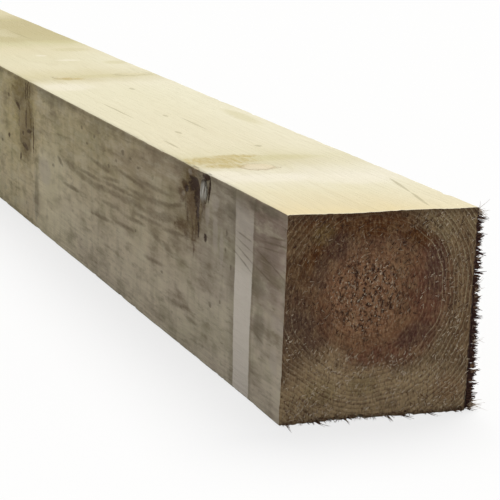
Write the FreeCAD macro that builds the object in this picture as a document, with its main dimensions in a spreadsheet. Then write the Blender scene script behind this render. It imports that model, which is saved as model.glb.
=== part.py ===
"""A square timber post, sawn from one log and pressure treated, as a parametric document.

The post is a single stick of softwood: a rough-sawn square section, long edges (the
arrises) worn slightly round by handling, and both ends sawn square across the grain.

Frame, in millimetres: +X runs along the post, +Z is up, and the origin is the centre of
the long face that the post lies on. The post lies level, as it is stored and sold.
"""

import FreeCAD
import Part
import math
import os
import Sketcher

NODE = "timber_post"
PARTS_FOLDER = "parts"

# Driving dimensions. The section is the nominal sawn size; the length is a stock length.
SIZES = {
    "stock_length": 1800.0,
    "section_width": 100.0,
    "section_height": 100.0,
    "arris_radius": 1.5,
}
VOLUME_TOLERANCE = 1e-6


def add_sizes(doc):
    """The sheet that every feature takes its size from, one named cell to a row."""
    sheet = doc.addObject("Spreadsheet::Sheet", "Sizes")
    for row, (name, value) in enumerate(SIZES.items(), start=1):
        sheet.set(f"A{row}", name)
        sheet.set(f"B{row}", str(value))
        sheet.setAlias(f"B{row}", name)
    doc.recompute()
    return sheet


def origin_plane(body, role):
    """One of the body's own origin planes, found by its role."""
    return next(f for f in body.Origin.OriginFeatures if f.Role == role)


def add_section(body, sheet):
    """The cross-section on the YZ plane: a rectangle centred on Y that stands on Z = 0."""
    sketch = body.newObject("Sketcher::SketchObject", "CrossSection")
    sketch.AttachmentSupport = [(origin_plane(body, "YZ_Plane"), "")]
    sketch.MapMode = "FlatFace"
    half_width = sheet.section_width / 2
    height = sheet.section_height
    corners = [
        FreeCAD.Vector(-half_width, 0, 0),
        FreeCAD.Vector(half_width, 0, 0),
        FreeCAD.Vector(half_width, height, 0),
        FreeCAD.Vector(-half_width, height, 0),
    ]
    bottom, right, top, left = (
        sketch.addGeometry(Part.LineSegment(start, end))
        for start, end in zip(corners, corners[1:] + corners[:1])
    )
    first, last, horizontal_axis, vertical_axis = 1, 2, -1, -2
    for line, following in ((bottom, right), (right, top), (top, left), (left, bottom)):
        sketch.addConstraint(Sketcher.Constraint("Coincident", line, last, following, first))
    # The symmetry about the vertical axis also keeps the bottom line level.
    sketch.addConstraint(
        Sketcher.Constraint("Symmetric", bottom, first, bottom, last, vertical_axis)
    )
    sketch.addConstraint(Sketcher.Constraint("PointOnObject", bottom, first, horizontal_axis))
    sketch.addConstraint(Sketcher.Constraint("Horizontal", top))
    for line in (left, right):
        sketch.addConstraint(Sketcher.Constraint("Vertical", line))
    bind_length(sketch, "Width", bottom, 2 * half_width, "section_width")
    bind_length(sketch, "Height", right, height, "section_height")
    return sketch


def bind_length(sketch, name, line, value, size_name):
    """Names the length of one line in a sketch and ties it to a cell of the sheet."""
    index = sketch.addConstraint(Sketcher.Constraint("Distance", line, value))
    sketch.renameConstraint(index, name)
    sketch.setExpression(f"Constraints.{name}", f"Sizes.{size_name}")


def add_stick(body, section):
    """The section run out along X, half the length to each side of the origin."""
    stick = body.newObject("PartDesign::Pad", "SawnStick")
    stick.Profile = section
    stick.Midplane = True
    stick.setExpression("Length", "Sizes.stock_length")
    section.Visibility = False
    return stick


def lengthwise_edges(shape):
    """Names of the edges that run along X."""
    along = FreeCAD.Vector(1, 0, 0)
    return [
        f"Edge{number}"
        for number, edge in enumerate(shape.Edges, start=1)
        if abs(abs(edge.tangentAt(edge.FirstParameter).dot(along)) - 1) < 1e-9
    ]


def add_worn_arrises(body, stick):
    """The slight rounding of the four long edges."""
    arrises = body.newObject("PartDesign::Fillet", "WornArrises")
    arrises.Base = (stick, lengthwise_edges(stick.Shape))
    arrises.setExpression("Radius", "Sizes.arris_radius")
    return arrises


def build_post(doc, sheet):
    """The whole post as one body."""
    body = doc.addObject("PartDesign::Body", NODE)
    body.Label = NODE
    section = add_section(body, sheet)
    stick = add_stick(body, section)
    doc.recompute()
    add_worn_arrises(body, stick)
    doc.recompute()
    return body


def expected_volume(sheet):
    """Section area, less what the four rounded arrises take away, times the length."""
    square = float(sheet.section_width * sheet.section_height)
    rounded_off = (4 - math.pi) * float(sheet.arris_radius) ** 2
    return (square - rounded_off) * float(sheet.stock_length)


def check(doc, body, sheet):
    """Stops the build if a feature failed or the solid isn't the size that the sheet says."""
    failed = [o.Name for o in doc.Objects if {"Invalid", "Error"} & set(o.State)]
    if failed:
        raise RuntimeError(f"these objects failed: {failed}")
    shape = body.Shape
    if shape.isNull() or not shape.isValid() or len(shape.Solids) != 1:
        raise RuntimeError(f"{body.Label} isn't one valid solid")
    wanted = expected_volume(sheet)
    if abs(shape.Volume - wanted) > VOLUME_TOLERANCE * wanted:
        raise RuntimeError(f"{body.Label} has volume {shape.Volume}, not {wanted}")


def main():
    doc = FreeCAD.newDocument("TimberPost")
    sheet = add_sizes(doc)
    body = build_post(doc, sheet)
    check(doc, body, sheet)
    os.makedirs(PARTS_FOLDER, exist_ok=True)
    body.Shape.exportStep(f"{PARTS_FOLDER}/{body.Label}.step")
    box = body.Shape.BoundBox
    print(f"{body.Label}: {box.XLength:.1f} x {box.YLength:.1f} x {box.ZLength:.1f} mm")


main()
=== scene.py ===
"""The looks of a treated timber post: one square stick, rough sawn round the heart of a pine log.

The log comes first: the line of its pith, its growth rings and the whorls of branches that leave
knots in the faces. The relief of the mesh and every material read that same log, so a knot or a
ring that leaves one face goes on in the next. Lengths are in millimetres, in the frame's own axes:
X along the post, Z up. MM turns them into the frame's metres.
"""

import math
import random

import bmesh
import bpy
import numpy as np
from mathutils import Matrix, Vector, noise


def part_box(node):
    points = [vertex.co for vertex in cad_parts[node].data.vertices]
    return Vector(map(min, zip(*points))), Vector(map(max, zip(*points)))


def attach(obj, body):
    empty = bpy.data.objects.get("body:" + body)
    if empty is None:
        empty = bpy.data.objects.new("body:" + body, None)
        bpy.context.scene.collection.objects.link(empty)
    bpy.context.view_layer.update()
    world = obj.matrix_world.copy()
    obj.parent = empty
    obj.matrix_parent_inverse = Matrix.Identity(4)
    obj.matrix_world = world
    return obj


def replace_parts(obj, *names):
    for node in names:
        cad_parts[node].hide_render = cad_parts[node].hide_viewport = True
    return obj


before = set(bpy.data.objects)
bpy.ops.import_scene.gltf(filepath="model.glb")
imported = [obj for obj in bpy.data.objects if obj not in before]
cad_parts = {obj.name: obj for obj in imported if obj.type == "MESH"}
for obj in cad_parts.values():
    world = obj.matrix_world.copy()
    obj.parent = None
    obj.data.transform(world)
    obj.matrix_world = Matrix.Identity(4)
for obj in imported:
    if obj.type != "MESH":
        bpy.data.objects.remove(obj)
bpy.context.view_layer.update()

MM = 0.001
NODE = "timber_post"
lowest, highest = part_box(NODE)
FAR_END, NEAR_END = lowest.x / MM, highest.x / MM
HALF = (highest.y - lowest.y) / MM / 2
HALF_SHOWN = HALF - 0.5  # sawn timber shrinks as it dries, so this stick is a little narrow
TOP = highest.z / MM
MIDDLE = TOP / 2

# ---------------------------------------------------------------- the log

PITH = (-7.0, 61.0)  # where the pith comes out of the near end, as Y and Z
SWAY = ((3.5, 230.0), (4.5, 310.0))  # how far the pith swings in Y and in Z, and over what length
TAPER = 0.004
RING_WIDTH = 2.2
KNOT_RINGS = 4.5  # from the middle of a knot to its rim
KNOT_REACH = 50.0  # the distance from the pith at which a branch has the radius given below
# Each year's whorl of branches: where it is along the post, and then for each branch its
# direction in degrees from +Y towards +Z, and its radius.
WHORLS = (
    (773, ((149, 14), (99, 10), (-25, 13), (-95, 10))),
    (401, ((164, 20), (106, 7), (48, 8), (-15, 14), (-80, 11))),
    (8, ((130, 12), (203, 13), (70, 13), (-30, 12), (-110, 9))),
    (-330, ((172, 9), (95, 12), (20, 13), (-70, 10))),
    (-738, ((192, 15), (110, 10), (40, 14), (-50, 12))),
)
BRANCH_LEAN = -0.12  # how far a branch climbs along X for each millimetre outwards


def pith_at(x):
    """Y and Z of the pith at a place along the post."""
    return [
        start + swing * math.sin((x - NEAR_END) / length)
        for start, (swing, length) in zip(PITH, SWAY)
    ]


def branches():
    """Each branch as the point where it leaves the pith, its direction and its radius."""
    found = []
    for number, (x, whorl) in enumerate(WHORLS):
        for turn, (angle, radius) in enumerate(whorl):
            start = Vector((x + 5.0 * math.sin(7 * number + 2 * turn), *pith_at(x)))
            radians = math.radians(angle)
            along = Vector((BRANCH_LEAN, math.cos(radians), math.sin(radians)))
            found.append((start, along.normalized(), radius))
    return found


BRANCHES = branches()

# ---------------------------------------------------------------- shader maths


class Field:
    """A number, colour or vector that varies over a surface, with Python's own operators."""

    def __init__(self, tree, socket=None):
        self.tree = tree
        self.socket = socket

    def node(self, kind, settings=None, inputs=None, output=0):
        """A new node: its settings first, then the values or links of its sockets."""
        node = self.tree.nodes.new(kind)
        for name, value in (settings or {}).items():
            if name == "stops":
                fill_ramp(node.color_ramp, value)
            else:
                setattr(node, name, value)
        for name, value in (inputs or {}).items():
            if isinstance(value, Field):
                self.tree.links.new(value.socket, node.inputs[name])
            else:
                node.inputs[name].default_value = value
        return Field(self.tree, node.outputs[output]) if output is not None else None

    def math(self, operation, *others):
        """The outcome of a Math node whose first value is this number."""
        values = dict(enumerate((self, *others)))
        return self.node("ShaderNodeMath", {"operation": operation}, values)

    def __add__(self, other):
        return self.math("ADD", other)

    __radd__ = __add__

    def __mul__(self, other):
        return self.math("MULTIPLY", other)

    __rmul__ = __mul__

    def __sub__(self, other):
        return self.math("SUBTRACT", other)

    def __rsub__(self, other):
        return self.math("MULTIPLY_ADD", -1.0, other)

    def __truediv__(self, other):
        return self.math("DIVIDE", other)

    def smooth(self, start, end):
        """0 before start, 1 after end, and a soft step between; start may be the larger."""
        limits = {"Value": self, "From Min": start, "From Max": end}
        return self.node("ShaderNodeMapRange", {"interpolation_type": "SMOOTHSTEP"}, limits)

    def vector(self, operation, inputs, output=0):
        """An outcome of a Vector Math node whose first value is this vector."""
        inputs = {0: self, **inputs}
        return self.node("ShaderNodeVectorMath", {"operation": operation}, inputs, output)

    def times(self, number):
        """This colour or vector, as many times as strong."""
        return self.vector("SCALE", {"Scale": number})

    def split(self):
        """The X, Y and Z of this vector."""
        parts = self.node("ShaderNodeSeparateXYZ", None, {0: self}, "X").socket.node
        return [Field(self.tree, parts.outputs[axis]) for axis in "XYZ"]

    def noise(self, scale, detail=2.0, roughness=0.5, seed=0.0):
        """Noise about 0, mostly from -1 to 1, with a grain of 1 / scale millimetres each way."""
        place = self.vector("MULTIPLY_ADD", {1: scale, 2: (seed, 1.7 * seed, 2.3 * seed)})
        settings = {"Vector": place, "Scale": 1.0, "Detail": detail, "Roughness": roughness}
        return (self.node("ShaderNodeTexNoise", None, settings) - 0.5) * 4.0

    def mix(self, first, second, way="MIX"):
        """From the first colour to the second as this number goes from 0 to 1."""
        settings = {"data_type": "RGBA", "blend_type": way}
        return self.node("ShaderNodeMix", settings, {0: self, 6: first, 7: second}, 2)

    def ramp(self, stops):
        """The colour that these (position, colour) stops give at this number."""
        return self.node("ShaderNodeValToRGB", {"stops": stops}, {0: self})


def fill_ramp(ramp, stops):
    """Sets a colour ramp to these (position, colour) stops."""
    while len(ramp.elements) > 1:
        ramp.elements.remove(ramp.elements[-1])
    for number, (position, colour) in enumerate(stops):
        element = ramp.elements.new(position) if number else ramp.elements[0]
        element.position = position
        element.color = colour


def shade(red, green, blue):
    """A colour as it looks, each part from 0 to 255, as the linear colour that a shader takes."""
    parts = [part / 255 for part in (red, green, blue)]
    return (*[p / 12.92 if p <= 0.04045 else ((p + 0.055) / 1.055) ** 2.4 for p in parts], 1.0)


def lay_over(colour, *layers):
    """Lays tints over a colour, each as how much of it shows, then its red, green and blue."""
    for share, *tint in layers:
        colour = share.mix(colour, shade(*tint))
    return colour


# ---------------------------------------------------------------- the log, in a material


class LogFields:
    """A material, and what the log is like at each point of it: its rings, knots and fibres.

    u and v are the two of X, Y and Z that lie in the face, in millimetres.
    """

    def __init__(self, name, face):
        self.material = bpy.data.materials.new(name)
        self.material.use_nodes = True
        start = Field(self.material.node_tree)
        self.start = start
        self.point = start.node("ShaderNodeTexCoord", output="Object").times(1 / MM)
        self.x, self.y, self.z = self.point.split()
        self.u, self.v = ({"x": self.x, "y": self.y, "z": self.z}[axis] for axis in face)
        self.fibre = self.point.noise((0.03, 0.8, 0.8), 3.0, 0.6)
        self.hair = self.point.noise((0.1, 2.6, 2.6), 2.0, 0.6, seed=11)
        self.blotch = self.point.noise((0.011, 0.03, 0.03), 2.0, 0.5, seed=5)
        self.mottle = self.point.noise((0.045, 0.14, 0.14), 4.0, 0.65, seed=17)
        self.patches = self.point.noise((0.026, 0.085, 0.085), 3.0, 0.55, seed=59)
        self.tint = self.point.noise((0.02, 0.05, 0.05), 2.0, 0.5, seed=61)
        self.across = self.point.noise((0.16, 0.03, 0.03), 2.0, 0.5, seed=23)
        self.ragged = self.point.noise((0.18, 0.5, 0.5), 4.0, 0.75, seed=29)
        self.flecks = self.point.noise((0.09, 0.42, 0.42), 3.0, 0.7, seed=37)
        self.read_knots()
        self.read_rings()

    def read_knots(self):
        """The nearest branch: the square of the distance to its middle, in radii."""
        nearest = 30.0
        for start, along, radius in BRANCHES:
            away = self.point.vector("SUBTRACT", {1: start})
            out = away.vector("DOT_PRODUCT", {1: along}, "Value")
            square = away.vector("DOT_PRODUCT", {1: away}, "Value") - out * out
            width = out.math("MAXIMUM", 0.5) * (radius**2 / KNOT_REACH)
            nearest = (square / width).math("MINIMUM", nearest)
        ragged = self.point.noise((0.12, 0.12, 0.12), 2.0, 0.6, seed=3)
        self.from_knot = nearest * (1 + 0.25 * ragged + 0.3 * self.flecks)
        self.knot = self.from_knot.smooth(1.1, 0.85)
        self.collar = self.from_knot.smooth(3.4, 1.0)
        self.bark = self.from_knot.smooth(0.75, 0.95) * self.from_knot.smooth(1.35, 1.05)
        self.swell = (nearest * -0.4).math("EXPONENT")

    def read_rings(self):
        """Growth rings about the pith, pushed outwards round each knot."""
        turns = [(self.x - NEAR_END) / length for _, length in SWAY]
        swings = [turn.math("SINE") * swing for turn, (swing, _) in zip(turns, SWAY)]
        aside = self.y - PITH[0] - swings[0]
        above = self.z - PITH[1] - swings[1]
        square = aside * aside + above * above
        self.radius = square.math("SQRT")
        drift = self.point.noise((0.006, 0.022, 0.022), 2.0, 0.5, seed=1) * 3.0
        ripple = self.point.noise((0.02, 0.1, 0.1), 2.0, 0.5, seed=2) * 0.5
        grown = self.radius + drift + ripple - self.swell * 7.0 + self.x * TAPER
        count = grown / RING_WIDTH
        place = count.math("FRACT")
        number = count.math("FLOOR")
        settings = {"noise_dimensions": "1D"}
        chance = self.start.node("ShaderNodeTexWhiteNoise", settings, {"W": number})
        strength = 0.3 + 0.7 * chance
        self.late = place.smooth(0.3, 0.9) * place.smooth(1.0, 0.94) * strength
        self.early = place.smooth(0.02, 0.1) * place.smooth(0.35, 0.15) * strength
        self.knot_ring = (self.from_knot.math("SQRT") * KNOT_RINGS).math("FRACT")

    def marks(self, shapes, edge=0.35, ragged=0.3):
        """1 inside any of these ovals: u, v, half the length, half the width, and any slope."""
        nearest = 9.0
        for u, v, half_length, half_width, *leaning in shapes:
            slope = leaning[0] if leaning else 0.0
            along = self.u.math("MULTIPLY_ADD", 1 / half_length, -u / half_length)
            beside = self.v.math("MULTIPLY_ADD", 1 / half_width, -v / half_width)
            beside = along.math("MULTIPLY_ADD", -slope * half_length / half_width, beside)
            square = along.math("MULTIPLY_ADD", along, beside * beside)
            nearest = square.math("MINIMUM", nearest)
        return (nearest + self.ragged * ragged).smooth(1 + edge, 1 - edge)

    def finish(self, colour, roughness, height):
        """The material, once its shader has a colour, a roughness and a relief in millimetres."""
        relief = {"Height": height, "Distance": MM, "Strength": 1.0}
        bump = self.start.node("ShaderNodeBump", None, relief)
        tree = self.material.node_tree
        sockets = tree.nodes["Principled BSDF"].inputs
        sockets["Specular IOR Level"].default_value = 0.2
        for name, field in (("Base Color", colour), ("Roughness", roughness), ("Normal", bump)):
            tree.links.new(field.socket, sockets[name])
        return self.material


def along_post(log, stops, wobble=2.0):
    """A colour that changes along the post: each stop is its X, red, green and blue."""
    length = NEAR_END - FAR_END
    drift = log.point.noise((0.0, 0.07, 0.07), 1.0, 0.5, seed=21) * wobble
    place = (log.x + drift - FAR_END) / length
    return place.ramp([((x - FAR_END) / length, shade(*colour)) for x, *colour in stops])


SAW_STEP = 5.5  # from one ridge that the band saw left to the next


def saw_marks(log):
    """Low ridges across the grain, left by the band saw where it was not torn away."""
    slant = log.x + log.z * 0.12 + log.y * 0.08 + log.point.noise((0.02, 0.01, 0.01), seed=8) * 2.0
    wave = slant * (2 * math.pi / SAW_STEP)
    return wave.math("SINE") * log.blotch.smooth(-0.6, 0.8)


def long_relief(log):
    """The height of the sawn long faces: torn fibre, hard late rings, saw marks and knots."""
    return (
        log.fibre * 0.16
        + log.hair * 0.06
        + log.late * 0.1
        + saw_marks(log) * 0.05
        + log.knot * 0.3
        - log.bark * 0.4
    )


def knot_colours(log, wood, heart, rim, strength):
    """The wood's colour with knots, their rings and their dark bark rims laid over it."""
    inside = (log.knot_ring.smooth(0.2, 1.0) * 0.5).mix(heart, rim)
    knotted = (log.knot * (0.85 * strength)).mix(wood, inside)
    return (log.bark * (0.7 * strength)).mix(knotted, rim)


# Marks on the upper face, as X, Y, half the length, half the width, and any slope.
# Olive painted shade on one side of each knot's swell.
TOP_KNOT_SHADE = (
    (750, -30, 11, 19, 0.1), (738, -17, 5, 13, 0.2), (766, -31, 7, 11), (404, -19, 7, 10, 0.15),
    (-9, -10, 9, 22), (-348, 6, 8, 26, 0.1), (-753, -22, 9, 20),
)
TOP_FAINT_RESIN = (
    (394, 18, 9, 34), (747, 2, 8, 26, 0.1), (232, 28, 12, 14), (318, 40, 10, 9),
    (176, 34, 12, 20, 0.3), (600, 38, 30, 5), (-1, 30, 8, 22), (-339, -34, 9, 20),
)
# Painted highlights on the other side of each knot's swell.
TOP_KNOT_HIGHLIGHTS = (
    (267, -5, 5, 4), (300, 8, 5, 9), (806, -22, 11, 24, 0.1), (789, -41, 8, 10),
    (446, -32, 16, 17), (815, 20, 14, 24), (-297, 0, 20, 30), (-713, 0, 16, 30),
)
TOP_CHECKS = (
    (838, 36, 20, 0.9, -0.16), (874, 30, 17, 0.9, -0.18), (691, -37, 14, 0.8), (620, 0, 24, 0.8),
    (587, -7, 4, 1.4), (652, -20, 5, 1.4), (466, 8, 5, 1.6), (707, 9, 3, 2),
    (560, -30, 30, 0.7, 0.03), (120, 14, 40, 0.7, 0.02), (-120, -22, 60, 0.9, 0.01),
    (-520, 18, 55, 0.9, -0.02),
)
# The face's colour along the post, as X, red, green and blue: paler than the sides partly as
# painted light, with a painted highlight in the stops from about X 784 to 822.
TOP_COLOURS = (
    (FAR_END, 214, 205, 172), (-735, 200, 190, 150), (-715, 226, 219, 190), (-365, 212, 203, 168),
    (-345, 226, 219, 190), (-60, 216, 206, 170), (0, 194, 183, 142), (110, 194, 183, 140),
    (165, 198, 188, 146), (182, 208, 201, 160), (222, 221, 212, 178), (300, 223, 216, 184),
    (345, 224, 216, 184), (385, 215, 206, 168), (410, 214, 205, 170), (432, 230, 223, 196),
    (480, 229, 223, 194), (700, 227, 219, 190), (730, 222, 214, 182), (745, 215, 207, 170),
    (765, 217, 208, 175), (784, 228, 221, 196), (802, 234, 227, 207), (822, 231, 224, 198),
    (845, 228, 219, 187), (880, 226, 213, 176), (NEAR_END, 229, 213, 170),
)


def pale_top():
    """The upper face, pale partly as painted light, with olive painted shade and pale painted
    highlights beside the knots.
    """
    log = LogFields("pale_top_face_painted_lit", "xy")
    colour = along_post(log, TOP_COLOURS, wobble=8.0)
    colour = lay_over(
        colour,
        (log.y.smooth(0, 44) * log.x.smooth(170, 300) * 0.35, 240, 236, 214),
        (log.blotch.smooth(0.1, 1.2) * 0.3, 230, 224, 196),
        (log.mottle.smooth(0.3, 1.4) * 0.22, 196, 187, 144),
        (log.fibre.smooth(0.0, 1.3) * 0.16, 196, 184, 146),
        (log.late * 0.1, 190, 174, 132),
        (log.marks(TOP_FAINT_RESIN, 0.8, 0.5) * 0.4, 203, 194, 146),
        # olive painted shade beside the knots
        (log.marks(TOP_KNOT_SHADE, 0.8, 0.8) * (0.64 + 0.4 * log.flecks), 190, 170, 110),
        # painted highlights beside the knots
        (log.marks(TOP_KNOT_HIGHLIGHTS, 0.8, 0.5) * 0.5, 240, 233, 214),
    )
    knots = log.x.smooth(500, 700) * 0.34 + 0.08
    colour = knot_colours(log, colour, shade(228, 206, 172), shade(190, 164, 120), knots)
    # A pale strip along the near end's edge: partly wear, partly a painted highlight.
    edge = log.x.smooth(NEAR_END - 2.5, NEAR_END - 0.8)
    colour = lay_over(
        colour,
        (log.marks(TOP_CHECKS, 0.5, 0.3) * 0.45, 160, 150, 112),
        (edge * 0.5, 244, 236, 212),
    )
    roughness = 0.85 - log.knot * 0.12 + log.fibre * 0.03
    return log.finish(colour, roughness, long_relief(log) * 0.8)


# Marks on the front face, as X, Z, half the length, half the width, and any slope.
# Dark bark in the knot's hollows; the thin marks beside and above the splinter are painted shadow
# in the gaps round it.
FRONT_BARK_AND_GAP_SHADE = (
    (762, 91, 5.5, 3.6, 0.1), (768, 87.5, 4.8, 6.2, -0.6), (773.5, 81, 2.6, 7.4, -0.8),
    (754, 87, 3.4, 1.7), (788.6, 92, 1, 6.5), (784, 98.4, 5, 1.4), (775, 70, 1.4, 4.6),
    (787, 67, 2, 1.8),
)
# Where resin and bark dust have run down from that knot, with the same measures.
FRONT_SEEPS = (
    (765, 85, 9, 11), (757, 77, 1.9, 8.5, 0.2), (765, 73, 1.6, 7), (771, 70, 2, 9),
    (766, 64, 1.6, 5), (768.5, 59, 1.2, 5, 0.2), (745, 84, 4, 1.8, 0.1),
    (748, 80.5, 3.6, 2.2, 0.3), (748, 66, 11, 2.4, 0.14), (756, 63, 5, 3.4), (783, 82, 1.8, 1.4),
)
FRONT_KNOT_STAIN = (
    (760, 88, 15, 9), (766, 77, 11, 17), (750, 66, 14, 5, 0.14), (378, 87, 21, 11),
    (411, 72, 11, 13), (400, 56, 14, 12), (-1, 40, 18, 22), (-334, 70, 20, 24), (-743, 48, 18, 20),
)
FRONT_SPLITS = (
    (751, 88, 5, 2.6, -0.2), (377, 78.5, 7, 1.8, -0.25), (400, 92, 1.8, 5.5),
    (405.5, 93, 1.6, 5.5), (412, 93, 1.4, 5), (403, 73, 1.6, 8), (423, 62, 1.6, 12),
    (394, 61, 2.2, 1.6), (411, 64.5, 6, 1.5, 0.1), (398, 52, 7, 2.2, -0.1), (387, 43, 2.2, 3),
    (351, 53, 3, 1.5), (-3, 41, 4, 9), (-327, 76, 6, 5, 0.3), (-339, 64, 2, 9), (-747, 52, 6, 4),
)
# Wavy streaks between the knots; each is drawn WAVE_SPREAD times as wide as it is given here.
WAVE_SPREAD = 2.3
FRONT_WAVES = (
    (519, 59.5, 16, 0.9, -0.08), (556, 57.4, 26, 0.8, -0.03), (590, 57.6, 22, 0.8, 0.06),
    (622, 59.3, 16, 0.7, 0.05), (648, 60.4, 18, 0.8, 0.08), (684, 62, 24, 0.8, 0.05),
    (722, 64.6, 26, 0.9, 0.13), (560, 61.2, 30, 0.5, 0.02), (630, 64, 30, 0.5, 0.04),
    (681, 68.5, 30, 0.6, 0.02), (712, 71, 24, 0.5, 0.08), (655, 74.4, 30, 0.5, -0.03),
    (700, 77, 26, 0.5, 0.03), (735, 74, 14, 0.5, 0.2), (690, 57, 26, 0.5, 0.05),
    (735, 59, 18, 0.5, 0.1), (612, 66.5, 18, 0.5, 0.1), (590, 71, 20, 0.5, -0.05),
    (705, 49.8, 9, 0.6, -0.1), (726, 47.8, 9, 0.8, -0.14), (664, 51.5, 16, 0.5, 0.05),
    (612, 51, 20, 0.5, 0.04), (640, 44, 20, 0.5, 0.05), (596, 40, 24, 0.5, 0.05),
    (530, 46, 20, 0.5, 0.03), (700, 36, 16, 0.5, 0.06), (742, 21.5, 16, 0.7, 0.07),
    (768, 18.5, 9, 0.5),
)
FRONT_CHECKS = (
    (884, 84, 17, 0.5, 0.11), (889, 87.5, 10, 0.45, 0.12), (880, 80.5, 12, 0.4, 0.1),
    (888, 72, 9, 0.5, -0.2), (870, 75, 8, 0.4, -0.18), (844, 79.5, 9, 0.45, -0.06),
    (844, 75.5, 10, 0.4, -0.12), (844, 66.5, 12, 0.5, -0.23), (846, 70.5, 10, 0.45, -0.2),
    (872, 66.5, 12, 0.45, -0.14), (868, 35, 6, 0.7, -0.2), (-60, 62, 90, 1.22, 0.02),
    (-450, 30, 70, 1.22, -0.02),
)
FRONT_DOTS = (
    (547, 88, 2.2, 1), (576, 87, 2.4, 1.1), (638, 87, 3, 1.3), (653, 86, 2.4, 0.9),
    (609, 74, 2.4, 1.1), (624, 80, 2, 0.9), (668, 83, 2.6, 0.8), (496, 58, 6, 1.6, -0.3),
    (560, 80, 2, 0.7), (819, 76, 1.4, 1.3), (818, 67, 1.4, 1.3), (826, 60, 1.2, 1.3),
    (812, 39, 1.6, 1), (797, 34, 2, 1.3), (716, 33, 2.2, 0.8), (665, 46, 2, 0.8),
    (478, 52, 3, 1.2), (330, 46, 2.4, 1.2), (348, 82, 2.4, 1.2), (210, 60, 3, 1.2),
    (-180, 44, 3, 1.2),
)
FRONT_DAMP = (
    (432, 24, 5, 18), (824, 88, 8, 4), (857, 97, 8, 2.5), (865, 59, 9, 4), (868, 40, 7, 9),
    (878, 98, 12, 2.5), (470, 96, 36, 5),
)
FRONT_DRY = (
    (892, 47, 8, 4), (889, 28, 5, 7), (749, 83.5, 2.6, 1.6), (758, 96.5, 3, 1.5),
    (789, 79, 3.5, 5), (802, 72, 4, 9, -0.5), (812, 66, 3, 9, -0.6), (800, 88, 6, 4),
    (455, 44, 16, 9),
)
FRONT_COLOURS = (
    (FAR_END, 168, 154, 130), (-735, 164, 149, 118), (-700, 178, 165, 134), (-360, 160, 143, 109),
    (-320, 176, 163, 132), (0, 162, 146, 111), (60, 176, 163, 132), (330, 208, 193, 148),
    (372, 196, 178, 124), (416, 198, 180, 128), (438, 212, 196, 152), (462, 214, 200, 158),
    (560, 197, 181, 142), (700, 187, 171, 138), (750, 170, 154, 126), (785, 160, 147, 127),
    (822, 167, 155, 137), (830, 156, 144, 126), (857, 146, 129, 114), (872, 148, 130, 116),
    (888, 152, 134, 120), (892, 178, 158, 144), (NEAR_END, 176, 157, 143),
)


def treated_front():
    """The front face: grey olive brown, darker than the top partly as painted shade, stained below
    the knots, with a strap's pale mark.
    """
    log = LogFields("treated_front_face", "xz")
    colour = along_post(log, FRONT_COLOURS)
    # Paler low down: painted light, as if bounced up from the floor.
    low = log.z.smooth(86, 8)
    bounce_lit_tint = log.x.smooth(350, 520).mix(shade(234, 219, 182), shade(226, 213, 190))
    colour = (low * 0.78).mix(colour, bounce_lit_tint)
    patch = log.x.smooth(437, 441) * log.x.smooth(560, 455) * log.z.smooth(62, 52)
    colour = lay_over(colour, (patch * 0.66, 238, 228, 200))
    colour = weathering(log, colour)
    colour = lay_over(colour, (patch * 0.36, 232, 217, 178))
    colour = strap_mark(log, colour, 1.0)
    stain = log.marks(FRONT_KNOT_STAIN, 0.9, 0.8) * (0.6 + 0.3 * log.flecks)
    colour = lay_over(
        colour,
        (stain, 122, 103, 62),
        (log.marks(FRONT_DAMP, 0.7, 0.4) * 0.4, 106, 98, 76),
        (log.marks(FRONT_DRY, 0.6, 0.4) * 0.4, 200, 188, 174),
    )
    broken = 0.56 + 0.22 * log.flecks
    waves = [(x, z, a, b * WAVE_SPREAD, *slope) for x, z, a, b, *slope in FRONT_WAVES]
    colour = lay_over(
        colour,
        (log.marks((*waves, *FRONT_CHECKS), 1.6, 0.8) * broken, 100, 84, 58),
        (log.marks(FRONT_DOTS, 1.0, 1.2) * 0.56, 80, 64, 40),
        (log.marks(FRONT_SPLITS, 0.8, 0.8) * (broken + 0.4), 84, 64, 38),
        (log.marks(FRONT_SEEPS, 1.2, 1.2) * (broken + 0.1), 84, 58, 34),
        # bark, and painted shadow in the gaps round the splinter
        (log.marks(FRONT_BARK_AND_GAP_SHADE, 2.0, 1.6) * 0.6, 98, 70, 42),
        (log.marks(FRONT_BARK_AND_GAP_SHADE, 0.8, 1.2) * 0.88, 52, 33, 22),
    )
    roughness = 0.88 - log.knot * 0.12 + log.fibre * 0.03
    height = long_relief(log) - log.marks(FRONT_BARK_AND_GAP_SHADE, 0.5, 0.9) * 0.8
    return log.finish(colour, roughness, height)


def weathering(log, colour):
    """Fibre, mottling, rings, knots and dirt over the plain colour of a treated side face."""
    faded = log.mottle.smooth(-0.6, 0.7) * 0.2 + log.blotch.smooth(-0.6, 0.6) * 0.08
    colour = lay_over(
        colour,
        (log.patches.smooth(0.0, 0.7) * 0.42, 114, 99, 70),
        (log.patches.smooth(0.0, -0.7) * 0.4, 218, 208, 180),
        (log.tint.smooth(0.0, 0.7) * 0.22, 136, 134, 92),
        (log.tint.smooth(0.0, -0.7) * 0.2, 164, 142, 130),
        (log.mottle.smooth(0.0, 0.8) * 0.4, 112, 97, 70),
        (log.mottle.smooth(0.1, -0.8) * 0.4, 222, 212, 184),
        (log.fibre.smooth(0.0, 0.9) * 0.18, 118, 103, 78),
        (log.fibre.smooth(0.0, -0.9) * 0.16, 210, 199, 174),
        (log.late * faded, 98, 82, 56),
        (log.collar * 0.2, 126, 108, 76),
    )
    colour = knot_colours(log, colour, shade(136, 115, 76), shade(82, 64, 42), 0.5)
    arris = (log.z + log.flecks * 1.6).smooth(TOP - 6.0, TOP - 1.0)
    return lay_over(
        colour,
        (log.across.smooth(-0.1, 0.8) * 0.16, 116, 101, 76),
        (log.flecks.smooth(0.3, 0.95) * 0.36, 96, 82, 58),
        (log.flecks.smooth(-0.45, -1.0) * 0.22, 222, 212, 190),
        (arris * 0.42, 96, 82, 58),
    )


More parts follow.
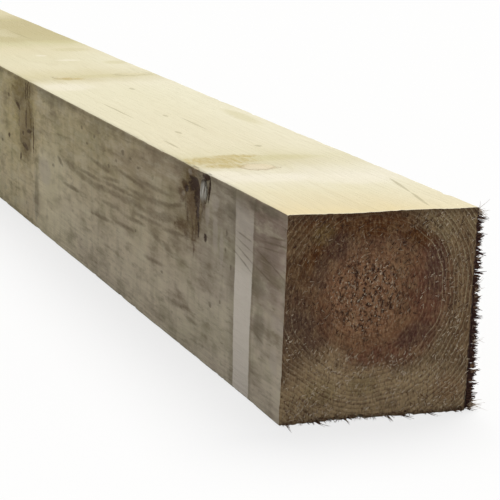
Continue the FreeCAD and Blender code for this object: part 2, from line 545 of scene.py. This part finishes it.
def strap_mark(log, colour, strength):
    """The pale band that a strap kept clean, sharp at its sides and worn away towards the top."""
    lean = (TOP - log.z) * 0.032
    place = log.x - lean + log.hair * 0.3
    band = place.smooth(830.2, 831.2) * (log.x + log.hair * 0.3).smooth(856.4, 855.4)
    worn = log.z.smooth(74, 56) * 0.5 + log.z.smooth(99, 86) * 0.42 + log.mottle * 0.1
    beside = place.smooth(822, 829) * place.smooth(831.5, 830)
    after = log.x.smooth(855.6, 857) * log.x.smooth(860, 857.6)
    return lay_over(
        colour,
        ((beside * 0.25 + after * 0.25) * strength, 96, 84, 66),
        (band * worn * strength, 238, 228, 214),
    )


# The torn strip at the near end's back edge: its dark tint is painted shade, as the strip faces
# away from the light.
TORN_STRIP_SHADE_TINT = (66, 42, 38)
# Checks and specks in the back face, with the same measures as the front's.
BACK_MARKS = (
    (640, 30, 26, 1.4, 0.05), (300, 62, 44, 1.3, -0.03), (-20, 24, 50, 1.3, 0.02),
    (-400, 70, 40, 1.4, 0.03), (520, 84, 5, 2), (210, 15, 4, 2), (-190, 52, 5, 2.4),
    (-600, 20, 5, 1.8),
)
BACK_COLOURS = (
    (FAR_END, 166, 154, 130), (-700, 160, 147, 118), (-640, 172, 160, 132), (-350, 158, 144, 112),
    (-280, 172, 160, 132), (20, 160, 146, 114), (90, 174, 162, 134), (400, 158, 143, 112),
    (450, 174, 162, 136), (770, 158, 145, 118), (820, 166, 154, 130), (NEAR_END, 152, 138, 118),
)


def treated_back():
    """The back face: the same wood, a little paler than the front and, like it, darker than the
    top partly as painted shade, with the strap's mark and its own knots.
    """
    log = LogFields("treated_back_face", "xz")
    colour = along_post(log, BACK_COLOURS)
    # Paler low down: painted light, as if bounced up from the floor.
    colour = lay_over(colour, (log.z.smooth(72, 4) * 0.3, 206, 194, 170))
    colour = weathering(log, colour)
    colour = strap_mark(log, colour, 0.8)
    colour = lay_over(
        colour,
        (log.marks(BACK_MARKS, 0.5, 0.4) * 0.5, 88, 72, 50),
        # painted shade in the torn strip at the near end
        (torn_strip_shade(log), *TORN_STRIP_SHADE_TINT),
    )
    roughness = 0.88 - log.knot * 0.12 + log.fibre * 0.03
    return log.finish(colour, roughness, long_relief(log))


def torn_strip_shade(log):
    """1 in the torn strip along the near end's back edge, where shade is painted, and 0 away from
    it.
    """
    inwards = (NEAR_END - log.x) + (HALF_SHOWN - log.y)
    width = log.z * -0.022 + 3.4 + log.ragged * 0.5
    return (inwards - width).smooth(0.5, -0.3)


def underside():
    """The face that the post lies on: the same treated wood, darker than the top partly as painted
    shade, and more even.
    """
    log = LogFields("underside_painted_shade", "xy")
    colour = log.blotch.smooth(-1.0, 1.0).mix(shade(150, 140, 114), shade(170, 160, 134))
    colour = weathering(log, colour)
    roughness = 0.86 + log.fibre * 0.03
    return log.finish(colour, roughness, long_relief(log))


# Patches of colour on the near end: the tint, how strong it is, and its ovals, each as Y, Z,
# half the width, half the height, and any slope.
END_PATCHES = (
    ((212, 184, 142), 0.85, ((-8, 9, 54, 19), (-32, 19, 18, 17, 0.3))),
    ((110, 82, 62), 0.7, ((-45, 52, 12, 30),)),
    ((112, 78, 46), 0.75, ((-40, 84, 14, 18),)),
    ((168, 146, 108), 0.8, ((35, 93, 18, 11, -0.2),)),
    ((150, 120, 88), 0.7, ((42, 60, 8, 34),)),
    ((102, 56, 10), 0.9, ((-12, 95, 30, 7), (-28, 86, 12, 8, 0.6), (20, 87, 12, 5, -0.4))),
    ((134, 82, 64), 0.7, ((26, 62, 11, 22), (16, 36, 14, 10, 0.4), (-4, 31, 12, 5))),
    ((168, 124, 88), 0.55, ((8, 78, 14, 6, -0.2), (6, 46, 13, 7, 0.2), (-14, 41, 10, 8, -0.3))),
    ((164, 146, 92), 0.35, ((-30, 91, 6, 5), (-29, 15, 9, 6), (-8, 17, 8, 5))),
    ((150, 106, 74), 0.5, ((37, 12, 8, 7), (-30, 64, 7, 12))),
    ((86, 60, 56), 0.6, ((-23, 85, 7, 7, 0.3), (28, 72, 6, 14), (18, 40, 9, 6, 0.3))),
    ((96, 76, 66), 0.5, ((-42, 48, 9, 8), (-33, 38, 7, 8, -0.4), (-31, 72, 4, 9))),
)
END_PALE_SPECKS = (
    (-19, 67, 6, 5), (28, 95, 12, 5), (38, 89, 8, 6), (40, 74, 4, 9), (-28, 21, 8, 4),
)


def end_grain(name, sap, heart, late_wood, patches):
    """A sawn end: rings across the grain, the reddish heart and the olive treated sapwood."""
    log = LogFields(name, "yz")
    streak = log.point.noise((0.3, 0.9, 0.42), 3.0, 0.72, seed=41)
    grit = log.point.noise((0.5, 1.1, 0.8), 3.0, 0.7, seed=42)
    pitting = log.point.noise((0.1, 0.5, 0.4), 2.0, 0.55, seed=44)
    cloud = log.point.noise((0.0, 0.06, 0.06), 3.0, 0.6, seed=43)
    tear = log.point.noise((0.3, 0.24, 0.12), 3.0, 0.6, seed=45)
    near_pith = (log.radius + cloud * 3.0).smooth(25, 14)
    outside = (log.radius + cloud * 4.0).smooth(34, 42)
    patchy = log.point.noise((0.0, 0.13, 0.13), 3.0, 0.6, seed=47)
    colour = lay_over(
        outside.mix(heart, sap),
        *[(log.marks(shapes, 0.75, 0.25) * weight, *tint) for tint, weight, shapes in patches],
        (patchy.smooth(0.0, 0.8) * 0.34, 80, 52, 40),
        (patchy.smooth(0.0, -0.8) * 0.3, 190, 160, 118),
        (near_pith * 0.6, 196, 144, 106),
    )
    broken = grit.smooth(-0.7, 0.4)
    colour = (log.late * broken * (outside * 0.34 + 0.46)).mix(colour, late_wood)
    rays = (outside * 0.5 + 0.16) * (log.y.smooth(20, 34) * 0.8 + 0.9)
    pits = pitting.smooth(0.05, 0.6) * (near_pith * 0.86 + 0.04)
    pale = near_pith * 0.8 + 0.2 + log.marks(END_PALE_SPECKS, 0.8) * 0.75
    inwards = MIDDLE - (log.z - MIDDLE).math("ABSOLUTE") - log.ragged * 0.4
    colour = lay_over(
        colour,
        (log.early * broken * rays, 214, 200, 164),
        (tear.smooth(0.0, 0.9) * (near_pith * 0.3 + 0.36), 68, 42, 34),
        (tear.smooth(0.0, -0.9) * 0.34, 180, 150, 112),
        (streak.smooth(0.0, 0.8) * 0.6, 64, 38, 22),
        (streak.smooth(0.0, -0.9) * 0.46, 206, 174, 132),
        (pits, 62, 36, 28),
        (grit.smooth(-0.25, -0.8) * pale, 224, 206, 178),
        (inwards.smooth(3.0, 0.4) * 0.4, 70, 44, 28),
        # painted shade in the torn strip at the back edge
        (torn_strip_shade(log), *TORN_STRIP_SHADE_TINT),
    )
    roughness = 0.92 + streak * 0.02
    height = streak * 0.3 + grit * 0.2 + log.late * 0.25 + tear * 0.3 - pits * 0.6
    return log.finish(colour, roughness, height)


def torn_fibre():
    """Loose fibre at the sawn ends, from dark to pale by each fibre's tone; the darkest tint, on
    the back edge's fringe, is painted shade.
    """
    log = LogFields("torn_fibre", "xy")
    fibre_tone_and_shade = log.start.node("ShaderNodeAttribute", {"attribute_name": "fibre_tone_and_shade"}, output="Fac")
    colour = fibre_tone_and_shade.ramp(
        [(0.0, shade(62, 40, 36)), (0.35, shade(132, 102, 76)), (1.0, shade(232, 216, 190))]
    )
    roughness = 0.9 + log.hair * 0.02
    return log.finish(colour, roughness, log.hair * 0.02)


# ---------------------------------------------------------------- the sawn stick

NEAR_CELLS, FAR_CELLS = 245, 45
NEAR_SHARE = 1400.0  # the length that is graded from the near end; the rest is from the far end
CROSS_CELLS = 64
ARRIS_RADIUS = 1.5


def graded(length, cells, finest):
    """Distances from 0 to length whose steps grow evenly; finest sets how short the first are."""
    share = np.arange(cells + 1) / cells
    return finest * (np.power(1 + length / finest, share) - 1)


def long_stations():
    """X of each loop of edges round the stick, closest together at its ends."""
    from_near = NEAR_END - graded(NEAR_SHARE, NEAR_CELLS, 100.0)
    from_far = FAR_END + graded(NEAR_END - FAR_END - NEAR_SHARE, FAR_CELLS, 30.0)
    return np.sort(np.concatenate([from_near, from_far[:-1]]))


def cross_stations():
    """Offsets from the middle of a face of each line along the stick, closest at the arrises."""
    inwards = HALF - graded(HALF, CROSS_CELLS // 2, 15.0)
    return np.sort(np.concatenate([inwards, -inwards[:-1]]))


def unit_grid(slots, cells):
    """A unit cube cut into cells along X, Y and Z, with a material slot for each of its sides."""
    mesh = bmesh.new()
    bmesh.ops.create_cube(mesh, size=1.0)
    for face in mesh.faces:
        face.normal_update()
        face.material_index = slots[tuple(round(part) for part in face.normal)]
        face.smooth = True
    for axis, number in enumerate(cells):
        lines = [e for e in mesh.edges if abs(e.verts[0].co[axis] - e.verts[1].co[axis]) > 0.5]
        bmesh.ops.subdivide_edges(mesh, edges=lines, cuts=number - 1, use_grid_fill=True)
    return mesh


def rough(points, scale, seed=0.0):
    """Smooth noise about 0 at each point, for points scaled to its grain."""
    return np.array([noise.noise((x, y, z)) for x, y, z in points * scale + seed])


def from_knots(points):
    """The square of the distance to the nearest branch, in radii, for each point."""
    nearest = np.full(len(points), 30.0)
    for start, along, radius in BRANCHES:
        away = points - np.array(start)
        out = away @ np.array(along)
        width = np.maximum(out, 0.5) * radius**2 / KNOT_REACH
        nearest = np.minimum(nearest, ((away**2).sum(1) - out**2) / width)
    return nearest


def soft_step(value, start, end):
    """0 before start, 1 after end, and a soft step between; start may be the larger."""
    share = np.clip((value - start) / (end - start), 0, 1)
    return share * share * (3 - 2 * share)


def arris_wear(points):
    """The radius of the arris at each point: worn, chipped, and torn where a knot breaks it."""
    side = np.sign(points[:, 1]) * 40 + np.sign(points[:, 2] - MIDDLE) * 90
    line = np.column_stack([points[:, 0], side, 0 * side])
    chips = np.maximum(rough(line, (0.07, 1, 1)) - 0.22, 0) * 4.5
    nicks = np.maximum(rough(line, (0.35, 1, 1), 9.0) - 0.25, 0) * 1.8
    torn = 3.0 * np.exp(-np.maximum(from_knots(points) - 0.5, 0))
    near_end = soft_step(points[:, 0], NEAR_END - 40, NEAR_END - 5)
    return ARRIS_RADIUS * (1 - 0.5 * near_end) + (chips + nicks + torn) * (1 - 0.8 * near_end)


def round_arrises(points):
    """Draws the section's corners in to a worn radius; returns which way faces point there."""
    radius = arris_wear(points)
    flat = HALF - radius
    y, z = points[:, 1], points[:, 2] - MIDDLE
    over_y, over_z = np.abs(y) - flat, np.abs(z) - flat
    corner = (over_y > 0) & (over_z > 0)
    length = np.maximum(np.hypot(over_y, over_z), 1e-9)
    reach = np.maximum(over_y, over_z) / length
    normal = np.zeros_like(points)
    normal[:, 1] = np.where(np.abs(np.abs(y) - HALF) < 1e-6, np.sign(y), 0)
    normal[:, 2] = np.where(np.abs(np.abs(z) - HALF) < 1e-6, np.sign(z), 0)
    edge = corner & (np.abs(normal).sum(1) > 0)
    normal[edge, 1] = (np.sign(y) * over_y / length)[edge]
    normal[edge, 2] = (np.sign(z) * over_z / length)[edge]
    points[corner, 1] = (np.sign(y) * (flat + over_y * reach))[corner]
    points[corner, 2] = (MIDDLE + np.sign(z) * (flat + over_z * reach))[corner]
    return normal


# Hollows where bark fell out of the front face: X, Z, half the length, half the height, depth.
BARK_HOLLOWS = (
    (764, 91, 7, 5, 2.6), (770, 86, 5, 6, 2), (789, 94, 2.5, 7, 1.6), (398, 52, 7, 4, 1.2),
)


def sawn_relief(points, normal):
    """The long faces' own unevenness: a saw's slow wander, torn streaks, and knots left proud."""
    height = rough(points, (0.012, 0.03, 0.03)) * 0.45
    height += rough(points, (0.05, 0.3, 0.3), 5.0) * 0.22
    near_knot = from_knots(points)
    height += soft_step(near_knot, 1.1, 0.6) * 0.5 - soft_step(near_knot, 2.2, 1.2) * 0.25
    front = normal[:, 1] < -0.3
    for x, z, half_length, half_height, depth in BARK_HOLLOWS:
        away = ((points[:, 0] - x) / half_length) ** 2 + ((points[:, 2] - z) / half_height) ** 2
        height -= front * depth * np.exp(-away)
    underneath = normal[:, 2] < -0.5
    height[underneath] = -np.abs(height[underneath]) * 0.5
    points += normal * np.where(np.abs(normal).sum(1) > 0, height, 0)[:, None]


def dry_out(points):
    """The stick's unevenness: a little under its width, and its upper face not quite level."""
    points[:, 1] *= HALF_SHOWN / HALF
    sunk = np.interp(points[:, 0], (250, 700, 850, NEAR_END), (-0.5, 0.0, 1.1, 0.9))
    drawn_in = np.interp(points[:, 0], (450, NEAR_END), (0.0, 1.2))
    share = np.clip(0.5 - points[:, 1] / (2 * HALF), 0, 1) * np.clip(points[:, 2] / TOP, 0, 1)
    points[:, 1] += drawn_in * share
    points[:, 2] += sunk * share + 0.6 * np.clip(points[:, 2] / TOP - share, 0, 1)


def end_relief(points, on_near, on_far):
    """The ends' own unevenness: the saw cut's shallow hollows, and torn pits at the heart."""
    for chosen, outwards in ((on_near, 1), (on_far, -1)):
        spots = points[chosen]
        depth = rough(spots, (0.0, 0.06, 0.06), outwards * 3.0) * 0.5
        depth += rough(spots, (0.0, 0.45, 0.3), outwards * 7.0) * 0.6
        to_pith = np.hypot(spots[:, 1] - PITH[0], spots[:, 2] - PITH[1])
        pits = np.maximum(rough(spots, (0.0, 0.3, 0.24), outwards * 9.0) - 0.05, 0) * 4.0
        depth -= pits * soft_step(to_pith, 26, 12)
        points[chosen, 0] += outwards * (np.minimum(depth, 0.35) - 0.35)


TORN_MIDDLE, TORN_REACH = -14.0, 26.0  # where the lower edge is torn deepest, as Y, and how far


def torn_near_edges(points):
    """The near end's back and lower edges, splintered where the saw came through."""
    in_from_end = NEAR_END - points[:, 0]
    line = np.column_stack([0 * in_from_end, points[:, 1], points[:, 2]])
    ragged = rough(line, (0, 0.32, 0.32)) + 0.6 * rough(line, (0, 0.9, 0.9), 4.0)
    in_from_back = HALF_SHOWN - points[:, 1]
    height = np.clip(points[:, 2] / TOP, 0, 1)
    back_size = 1.0 + 2.6 * (1 - height) ** 0.8 + 1.2 * ragged
    deepest = np.exp(-(((points[:, 1] - TORN_MIDDLE) / TORN_REACH) ** 2))
    lower_size = 0.5 + 3.0 * np.maximum(ragged, -0.15) + 2.0 * deepest
    back = np.maximum(back_size - in_from_end - in_from_back, 0) / 2
    lower = np.maximum(lower_size - in_from_end - points[:, 2], 0) / 2
    points[:, 0] -= back + lower
    points[:, 1] -= back
    points[:, 2] += lower


# Which way the face under each of the post's materials points: top, front, back, underside, ends.
FACES = ((0, 0, 1), (0, -1, 0), (0, 1, 0), (0, 0, -1), (1, 0, 0), (-1, 0, 0))


def sawn_post(materials):
    """The post itself, in place of its plain solid."""
    slots = {face: number for number, face in enumerate(FACES)}
    along = long_stations()
    across = cross_stations()
    cells = (len(along) - 1, CROSS_CELLS, CROSS_CELLS)
    grid = unit_grid(slots, cells)
    unit = np.array([v.co for v in grid.verts]) + 0.5
    index = np.rint(unit * np.array(cells)).astype(int)
    x, y, z = along[index[:, 0]], across[index[:, 1]], across[index[:, 2]] + MIDDLE
    points = np.column_stack([x, y, z])
    on_far, on_near = index[:, 0] == 0, index[:, 0] == cells[0]
    normal = round_arrises(points)
    sawn_relief(points, normal)
    end_relief(points, on_near, on_far)
    dry_out(points)
    torn_near_edges(points)
    for vertex, place in zip(grid.verts, points * MM):
        vertex.co = place
    grid.normal_update()
    for edge in grid.edges:
        edge.smooth = edge.calc_face_angle(0.0) < math.radians(38)
    mesh = finished_mesh("sawn_post", grid)
    for material in materials:
        mesh.materials.append(material)
    return add_piece("sawn_post", mesh)


def finished_mesh(name, shapes):
    """The mesh of this name that bmesh shapes make; the shapes are freed."""
    mesh = bpy.data.meshes.new(name)
    shapes.to_mesh(mesh)
    shapes.free()
    return mesh


def add_object(name, data):
    """An object in the scene, at the origin, for a mesh, a lamp or a camera."""
    added = bpy.data.objects.new(name, data)
    bpy.context.scene.collection.objects.link(added)
    return added


def add_piece(name, mesh):
    """An object for this mesh that rides on the post's body and has its finish."""
    piece = add_object(name, mesh)
    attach(piece, "root")
    return piece


# ---------------------------------------------------------------- torn fibre

FIBRE_BENDS = 3


def fibre_blank():
    """One straight fibre along Z, 1 long and 1 thick at its root, to be placed and bent."""
    mesh = bmesh.new()
    bmesh.ops.create_cone(mesh, cap_ends=True, segments=3, radius1=0.5, radius2=0.12, depth=1.0)
    sides = [e for e in mesh.edges if abs(e.verts[0].co.z - e.verts[1].co.z) > 0.5]
    bmesh.ops.subdivide_edges(mesh, edges=sides, cuts=FIBRE_BENDS)
    bmesh.ops.translate(mesh, verts=mesh.verts, vec=(0, 0, 0.5))
    return finished_mesh("fibre_blank", mesh)


def place_fibre(shape, root, towards, length, thickness, curl):
    """The blank's points as one fibre from root, bent sideways by curl at its tip."""
    towards = towards.normalized()
    side = towards.orthogonal().normalized()
    axes = np.array([side, towards.cross(side), towards])
    bent = shape * np.array([thickness, thickness, length])
    return bent @ axes + np.array(root) + np.outer(shape[:, 2] ** 2, np.array(curl))


def fibre_piece(name, tufts, material):
    """Many fibres as one mesh, each (root, towards, length, thickness, curl, bleach) in a tuft."""
    blank = fibre_blank()
    shape = np.array([v.co for v in blank.vertices])
    fibres = [fibre for tuft in tufts for fibre in tuft]
    grown = bmesh.new()
    for _ in fibres:
        grown.from_mesh(blank)
    mesh = finished_mesh(name, grown)
    points = np.concatenate([place_fibre(shape, *fibre[:5]) for fibre in fibres])
    points[:, 2] = np.maximum(points[:, 2], 0.02)
    mesh.vertices.foreach_set("co", (points * MM).ravel())
    fibre_tone_and_shade = mesh.attributes.new("fibre_tone_and_shade", "FLOAT", "POINT")
    fibre_tone_and_shade.data.foreach_set("value", np.repeat([fibre[5] for fibre in fibres], len(shape)))
    mesh.update()
    mesh.materials.append(material)
    return add_piece(name, mesh)


def tuft(draw, root, towards, count, length, thickness, fibre_tone_and_shade, spread=0.2, curling=0.15):
    """A few fibres that fan out from nearly one root."""
    fibres = []
    for _ in range(count):
        fan = Vector([draw.gauss(0, spread) for _ in range(3)])
        shift = Vector([draw.gauss(0, 0.3) for _ in range(3)])
        size = length * draw.uniform(0.5, 1.1)
        curl = Vector([draw.gauss(0, curling) * size for _ in range(3)])
        tone = min(max(fibre_tone_and_shade + draw.gauss(0, 0.06), 0), 1)
        thick = thickness * draw.uniform(0.7, 1.3)
        fibres.append((root + shift, towards + fan, size, thick, curl, tone))
    return fibres


def back_edge_fibres(draw):
    """Teeth of fibre that the saw pushed out past the near end's back edge, mostly in the darkest
    tint as painted shade, with a few pale hairs.
    """
    tufts = []
    z = 1.5
    while z < TOP - 2:
        low = 1 - z / TOP
        root = Vector((NEAR_END - 1.6 - low, HALF_SHOWN - 0.9, z))
        stub = Vector((draw.gauss(0.1, 0.2), 1, draw.gauss(-0.05, 0.15)))
        tufts.append(tuft(draw, root, stub, 4, 3.0 + 1.6 * low, 1.0, 0.0, 0.14, 0.05))
        z += draw.uniform(0.5, 0.9)
    z = 3.0
    while z < TOP - 3:
        root = Vector((NEAR_END - draw.uniform(1.0, 2.5), HALF_SHOWN, z))
        towards = Vector((draw.gauss(0.1, 0.15), 1, draw.gauss(-0.05, 0.16)))
        fibre_tone_and_shade = draw.choice((0.0, 0.0, 0.04, 0.1, 0.2))
        length = draw.uniform(2.6, 4.2) if draw.random() < 0.65 else draw.uniform(4.2, 5.8)
        count = draw.randint(5, 8)
        tufts.append(tuft(draw, root, towards, count, length, 0.7, fibre_tone_and_shade, 0.08, 0.07))
        z += draw.uniform(1.7, 3.4)
    for _ in range(22):
        x, z = NEAR_END - draw.uniform(0.5, 3), draw.uniform(3, TOP - 3)
        root = Vector((x, HALF_SHOWN + 0.4, z))
        towards = Vector((draw.gauss(0.2, 0.3), 1, draw.gauss(0, 0.4)))
        tufts.append(tuft(draw, root, towards, 3, draw.uniform(2.4, 4.6), 0.3, 0.6, 0.25, 0.35))
    return tufts


LONG_SPLINTERS = (-46, -31, -16, 6, 14, 27, 41)  # where long splinters lie at the lower edge, as Y


def lower_edge_fibres(draw):
    """Reddish fibres along the near end's lower edge, lying out over the floor."""
    tufts = []
    y = 1 - HALF_SHOWN
    while y < HALF_SHOWN:
        root = Vector((NEAR_END - draw.uniform(0.4, 1.6), y, draw.uniform(1.0, 2.4)))
        towards = Vector((1, draw.gauss(0, 0.35), draw.gauss(-0.2, 0.15)))
        fibre_tone_and_shade = draw.choice((0.1, 0.25, 0.35, 0.5))
        tufts.append(tuft(draw, root, towards, 3, draw.uniform(1.4, 4.0), 0.5, fibre_tone_and_shade, 0.2))
        y += draw.uniform(0.5, 1.6)
    for place in LONG_SPLINTERS:
        root = Vector((NEAR_END - 1, place, 0.8))
        towards = Vector((1, draw.gauss(0.2, 0.3), -0.04))
        tufts.append(tuft(draw, root, towards, 4, draw.uniform(6.0, 9.5), 0.6, 0.2, 0.1, 0.1))
    return tufts


def corner_fuzz(draw):
    """Pale curled fluff at the two ends of the torn edge."""
    tufts = []
    for z, count, rise in ((TOP - 2.2, 12, -0.1), (2.0, 16, -0.02)):
        for _ in range(count):
            root = Vector((NEAR_END - draw.uniform(0.2, 2.5), HALF_SHOWN, z + draw.gauss(0, 1.1)))
            towards = Vector((draw.gauss(0.2, 0.5), 1, draw.gauss(rise, 0.5)))
            tufts.append(tuft(draw, root, towards, 4, draw.uniform(1.8, 4.0), 0.36, 0.7, 0.4, 0.7))
    return tufts


def fibre_tones(y, z, heart):
    """How bleached the fibres at a place on an end can be: palest in the low sapwood."""
    if z < 30 + 0.012 * y**2:
        return (0.28, 0.4, 0.6, 0.9, 1.0)
    return (0.02, 0.1, 0.3, 0.6, 1.0 if heart or y > 20 else 0.4)


def end_fibres(draw, end, outwards, number):
    """Short torn fibres that lie over a sawn end, drawn up and across by the saw."""
    fibres = []
    for _ in range(number):
        y, z = draw.uniform(1.5 - HALF_SHOWN, HALF_SHOWN - 3), draw.uniform(1.5, TOP - 1.5)
        heart = math.hypot(y - PITH[0], z - PITH[1]) < draw.gauss(17, 4)
        root = Vector((end - 0.5 * outwards, y, z))
        lift = outwards * draw.uniform(0.05, 0.4)
        towards = Vector((lift, draw.gauss(0.35, 0.5), draw.gauss(0.8, 0.5)))
        length = draw.uniform(0.7, 1.6) if heart else draw.uniform(0.9, 2.4)
        tone = draw.choice(fibre_tones(y, z, heart))
        curl = Vector([draw.gauss(0, 0.12) for _ in range(3)])
        fibres.append((root, towards, length, draw.uniform(0.3, 0.6), curl, tone))
    return [fibres]


def knot_splinter(material):
    """A sliver of grey wood left standing in the front face, beside the fallen bark."""
    mesh = bmesh.new()
    bmesh.ops.create_cube(mesh, size=1.0)
    bmesh.ops.subdivide_edges(mesh, edges=mesh.edges, cuts=7, use_grid_fill=True)
    for vertex in mesh.verts:
        across, deep, up = vertex.co.x, vertex.co.y, vertex.co.z + 0.5
        narrow = 1 - 0.55 * abs(up - 0.45) ** 1.5 * 2
        wander = noise.noise(vertex.co * 5) * 0.9 + math.sin(up * 3.0) * 0.6
        x = 783.0 + across * 6.4 * narrow + wander
        y = 0.7 - HALF_SHOWN + deep * 2.6 * narrow
        vertex.co = Vector((x, y, 84.4 + up * 12.4)) * MM
    data = finished_mesh("knot_splinter", mesh)
    data.materials.append(material)
    return add_piece("knot_splinter", data)


def splinter_wood():
    """The splinter's own finish: weathered grey with fine dark lines along it."""
    log = LogFields("weathered_splinter", "xz")
    lines = log.point.noise((1.1, 1.1, 0.12), 3.0, 0.6, seed=51)
    colour = lines.smooth(-0.6, 0.6).mix(shade(224, 222, 212), shade(146, 138, 124))
    colour = lay_over(
        colour,
        ((log.z + lines * 2.0).smooth(92, 97), 74, 62, 46),
        ((log.z + lines * 2.0).smooth(89, 84.5), 120, 106, 84),
    )
    return log.finish(colour, 0.86 + lines * 0.03, lines * 0.2)


# ---------------------------------------------------------------- floor, light and camera


FLOOR_WHITE = 0.75  # how much of the floor is plain white, on which no shadow shows
SURROUND = 0.42  # how strongly the white surround lights the post
KEY_STRENGTH = 2.4
KEY_ANGLE = math.radians(35)  # how wide the soft lamp is
KEY_COLOUR = (1.0, 0.985, 0.955)
KEY_FROM = (-0.45, 0.35, 1.0)


def add_floor():
    """A plain pale floor. The camera sees it white, with only the post's soft shadow on it."""
    mesh = bmesh.new()
    bmesh.ops.create_grid(mesh, x_segments=1, y_segments=1, size=30.0)
    data = finished_mesh("studio_floor", mesh)
    floor = add_object("studio_floor", data)
    material = bpy.data.materials.new("studio_floor")
    material.use_nodes = True
    tree = material.node_tree
    tree.nodes.clear()
    start = Field(tree)
    plain = start.node("ShaderNodeBsdfDiffuse", None, {"Color": (0.5, 0.5, 0.5, 1)})
    bright = start.node("ShaderNodeBsdfDiffuse", None, {"Color": (0.9, 0.9, 0.9, 1)})
    white = start.node("ShaderNodeEmission", None, {"Strength": 1.0})
    shadowed = start.node("ShaderNodeMixShader", None, {0: FLOOR_WHITE, 1: bright, 2: white})
    seen = seen_directly(start)
    shown = start.node("ShaderNodeMixShader", None, {0: seen, 1: plain, 2: shadowed})
    start.node("ShaderNodeOutputMaterial", None, {"Surface": shown}, output=None)
    data.materials.append(material)


def seen_directly(start):
    """1 for rays from the camera, or by way of gloss or glass, and 0 for light that bounces."""
    rays = [
        start.node("ShaderNodeLightPath", output=name)
        for name in ("Is Camera Ray", "Is Glossy Ray", "Is Transmission Ray")
    ]
    return rays[0].math("MAXIMUM", rays[1].math("MAXIMUM", rays[2]))


def add_light():
    """Soft light from above and behind, and a white surround that is dimmer than it looks."""
    world = bpy.data.worlds.new("studio")
    bpy.context.scene.world = world
    world.use_nodes = True
    tree = world.node_tree
    start = Field(tree)
    background = tree.nodes["Background"]
    strength = seen_directly(start) * (1 - SURROUND) + SURROUND
    tree.links.new(strength.socket, background.inputs["Strength"])
    background.inputs["Color"].default_value = (1, 1, 1, 1)
    lamp = bpy.data.lights.new("overhead_softbox", "SUN")
    lamp.energy = KEY_STRENGTH
    lamp.angle = KEY_ANGLE
    lamp.color = KEY_COLOUR
    key = add_object("overhead_softbox", lamp)
    key.rotation_euler = Vector(KEY_FROM).to_track_quat("Z", "Y").to_euler()


LENS = 137.0
CAMERA_FROM_END = Vector((793.0, -364.4, 270.8))  # from the middle of the near end's lower edge
AZIMUTH, ELEVATION, ROLL = (math.radians(angle) for angle in (69.42, 12.325, 1.56))


def add_camera():
    """A long lens near the end of the post, looking down along it, tilted slightly sideways."""
    back = Vector(
        (
            math.sin(AZIMUTH) * math.cos(ELEVATION),
            -math.cos(AZIMUTH) * math.cos(ELEVATION),
            math.sin(ELEVATION),
        )
    )
    level = Vector((0, 0, 1)).cross(back).normalized()
    upright = back.cross(level)
    right = level * math.cos(ROLL) + upright * math.sin(ROLL)
    data = bpy.data.cameras.new("camera")
    data.lens = LENS
    data.sensor_width = 36.0
    camera = add_object("camera", data)
    turn = Matrix((right, back.cross(right), back)).transposed().to_4x4()
    place = (Vector((NEAR_END, 0, 0)) + CAMERA_FROM_END) * MM
    camera.matrix_world = Matrix.Translation(place) @ turn
    bpy.context.scene.camera = camera


def main():
    bpy.context.scene.view_settings.view_transform = "Standard"
    add_camera()
    add_light()
    add_floor()
    near_end = end_grain(
        "near_end_grain", shade(140, 117, 88), shade(140, 100, 74), shade(80, 52, 38), END_PATCHES
    )
    far_end = end_grain(
        "far_end_grain", shade(144, 124, 94), shade(142, 108, 80), shade(92, 68, 48), ()
    )
    faces = [pale_top(), treated_front(), treated_back(), underside(), near_end, far_end]
    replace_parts(sawn_post(faces), NODE)
    knot_splinter(splinter_wood())
    fibre = torn_fibre()
    draw = random.Random(4)
    fibre_piece("back_edge_fibres", back_edge_fibres(draw), fibre)
    fibre_piece("lower_edge_fibres", lower_edge_fibres(draw), fibre)
    fibre_piece("corner_fuzz", corner_fuzz(draw), fibre)
    fibre_piece("near_end_fibres", end_fibres(draw, NEAR_END, 1, 4200), fibre)
    fibre_piece("far_end_fibres", end_fibres(draw, FAR_END, -1, 1500), fibre)


main()
